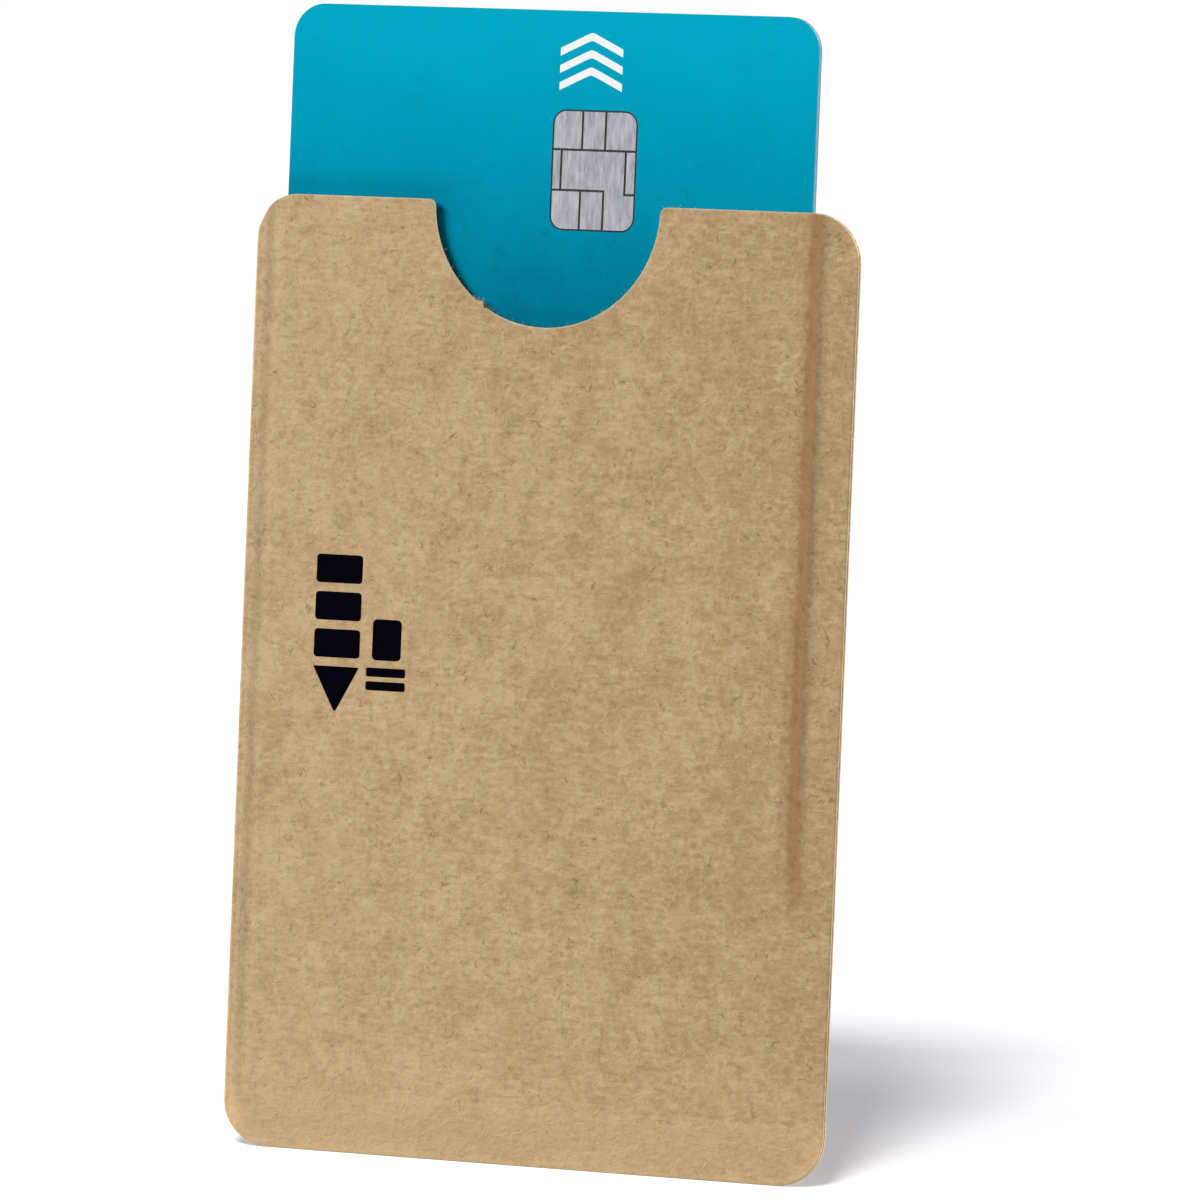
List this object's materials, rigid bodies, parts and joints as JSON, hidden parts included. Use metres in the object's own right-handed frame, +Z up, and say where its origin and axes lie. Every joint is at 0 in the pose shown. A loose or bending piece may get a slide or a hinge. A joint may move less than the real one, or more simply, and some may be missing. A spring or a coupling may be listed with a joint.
{
  "type": "card sleeve",
  "caption": "Flat shielding sleeve of folded kraft board lined with foil, with a half-round thumb notch, holding a smart card that slides in and out of its mouth.",
  "frame": {"origin": "middle of the sleeve's bottom edge, on the surface that it stands on, halfway through its thickness", "axes": "+Z up the sleeve towards its open mouth, +Y out of its flat back panel, so the front with the thumb notch faces -Y, +X towards the sealed side seam"},
  "size_m": [0.062, 0.0018, 0.1092],
  "materials": {
    "kraft_board": "matte",
    "foil_liner": "satin",
    "seal_adhesive": "matte",
    "card_overlay": "satin",
    "card_print": "satin",
    "card_core": "matte",
    "magnetic_film": "satin",
    "signature_film": "matte",
    "antenna_wire": "satin",
    "antenna_bump": "satin",
    "carrier_tape": "matte",
    "module_adhesive": "satin",
    "chip_silicon": "polished",
    "chip_resin": "satin",
    "contact_metal": "satin"
  },
  "bodies": {
    "sleeve": {"front_panel": "kraft_board", "fold_slope": "kraft_board", "fold_bend": "kraft_board", "side_slope": "kraft_board", "side_flange": "kraft_board", "bottom_slope": "kraft_board", "bottom_flange": "kraft_board", "back_panel": "kraft_board", "front_liner": "foil_liner", "back_liner": "foil_liner", "side_seal": "seal_adhesive", "bottom_seal": "seal_adhesive"},
    "card": {"front_overlay": "card_overlay", "front_print": "card_print", "antenna_inlay": "card_core", "back_print": "card_print", "back_overlay": "card_overlay", "magnetic_stripe": "magnetic_film", "signature_panel": "signature_film", "antenna_coil": "antenna_wire", "outer_antenna_bump": "antenna_bump", "inner_antenna_bump": "antenna_bump", "chip_carrier": "carrier_tape", "module_adhesive": "module_adhesive", "chip_die": "chip_silicon", "chip_resin": "chip_resin", "contact_top_left": "contact_metal", "contact_top_middle": "contact_metal", "contact_top_right": "contact_metal", "contact_left_strip": "contact_metal", "contact_centre": "contact_metal", "contact_right_strip": "contact_metal", "contact_bottom_left": "contact_metal", "contact_bottom_middle": "contact_metal"}
  },
  "joints": [
    {"name": "card_slide", "type": "slide", "parent": "sleeve", "child": "card", "axis": [0, 0, 1], "range_m": [-0.0182, 0.0654]}
  ]
}
